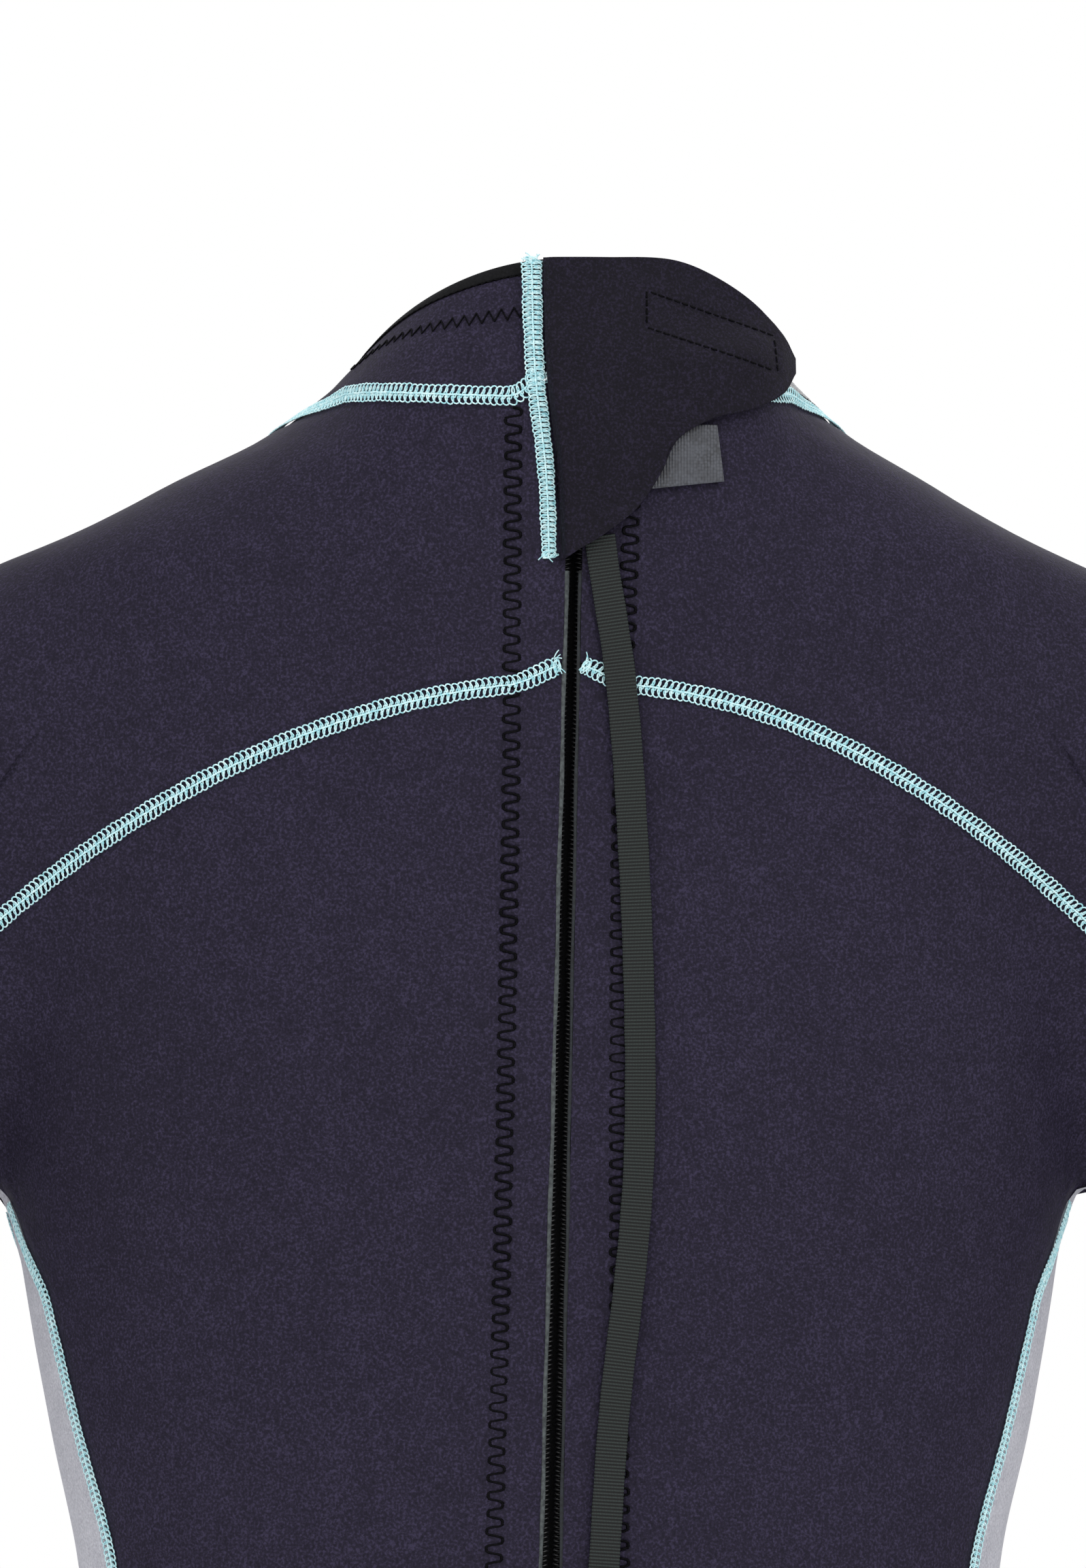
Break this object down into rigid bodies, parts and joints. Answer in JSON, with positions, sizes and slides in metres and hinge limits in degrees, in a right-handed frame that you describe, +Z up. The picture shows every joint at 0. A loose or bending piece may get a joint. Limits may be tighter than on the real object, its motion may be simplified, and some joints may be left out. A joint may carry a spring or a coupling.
{
  "type": "full wetsuit",
  "caption": "Full-length back-zip wetsuit of sewn neoprene panels, with a zip, a pull leash and a collar flap that lifts.",
  "frame": {"origin": "middle of the neck opening at the height of the neck seam", "axes": "+Z up, -Y out of the zipped back, +X to the wearer's right"},
  "size_m": [0.8602, 0.2554, 1.465],
  "materials": {
    "navy_foam": "fine knit over neoprene foam, matte, very dark navy",
    "grey_foam": "fine knit over neoprene foam, matte, light grey",
    "black_foam": "smooth black neoprene",
    "thread": "pale cyan flatlock stitching",
    "zip_tape": "woven black tape",
    "zip_coil": "moulded black nylon coil",
    "zip_metal": "black lacquered",
    "webbing": "ribbed dark green-black webbing",
    "hook_and_loop": "grey hook and loop tape"
  },
  "bodies": {
    "suit": {"ankle_seal_left": "black_foam", "ankle_seal_right": "black_foam", "arch_seam_left": "thread", "arch_seam_right": "thread", "back_panel_left": "navy_foam", "back_panel_right": "navy_foam", "collar_band": "navy_foam", "collar_hem": "navy_foam", "flap_seam": "thread", "front_panel": "navy_foam", "knee_pad_left": "black_foam", "knee_pad_right": "black_foam", "leg_back_left": "navy_foam", "leg_back_right": "navy_foam", "leg_back_seam_left": "thread", "leg_back_seam_right": "thread", "leg_front_left": "navy_foam", "leg_front_right": "navy_foam", "leg_side_left": "grey_foam", "leg_side_right": "grey_foam", "loop_patch": "hook_and_loop", "neck_seam": "thread", "raglan_seam_left": "thread", "raglan_seam_right": "thread", "shoulder_panel_left": "navy_foam", "shoulder_panel_right": "navy_foam", "side_back_seam_left": "thread", "side_back_seam_right": "thread", "side_front_seam_left": "thread", "side_front_seam_right": "thread", "side_panel_left": "grey_foam", "side_panel_right": "grey_foam", "sleeve_panel_left": "navy_foam", "sleeve_panel_right": "navy_foam", "underarm_panel_left": "grey_foam", "underarm_panel_right": "grey_foam", "wrist_seal_left": "black_foam", "wrist_seal_right": "black_foam", "zip_bottom_stop": "zip_metal", "zip_coil_left": "zip_coil", "zip_coil_right": "zip_coil", "zip_guard": "navy_foam", "zip_tape_left": "zip_tape", "zip_tape_right": "zip_tape"},
    "zip_slider": {"zip_slider": "zip_metal"},
    "zip_pull": {"zip_pull_tab": "zip_metal", "zip_leash": "webbing", "leash_end": "webbing"},
    "collar_flap": {"collar_flap": "navy_foam", "hook_patch": "hook_and_loop", "keeper_tab": "hook_and_loop"}
  },
  "joints": [
    {"name": "zip_slide", "type": "slide", "parent": "suit", "child": "zip_slider", "axis": [-0.025, -0.0723, -0.9971], "range_m": [0, 0.52]},
    {"name": "zip_pull_swing", "type": "hinge", "parent": "zip_slider", "child": "zip_pull", "pos_m": [0.00999, -0.08611, -0.024], "axis": [0, -0.9974, 0.0724], "range_deg": [-8, 8]},
    {"name": "collar_flap_lift", "type": "hinge", "parent": "suit", "child": "collar_flap", "pos_m": [0.005, -0.08995, -0.054], "axis": [0.0722, -0.0722, -0.9948], "range_deg": [0, 95]}
  ]
}
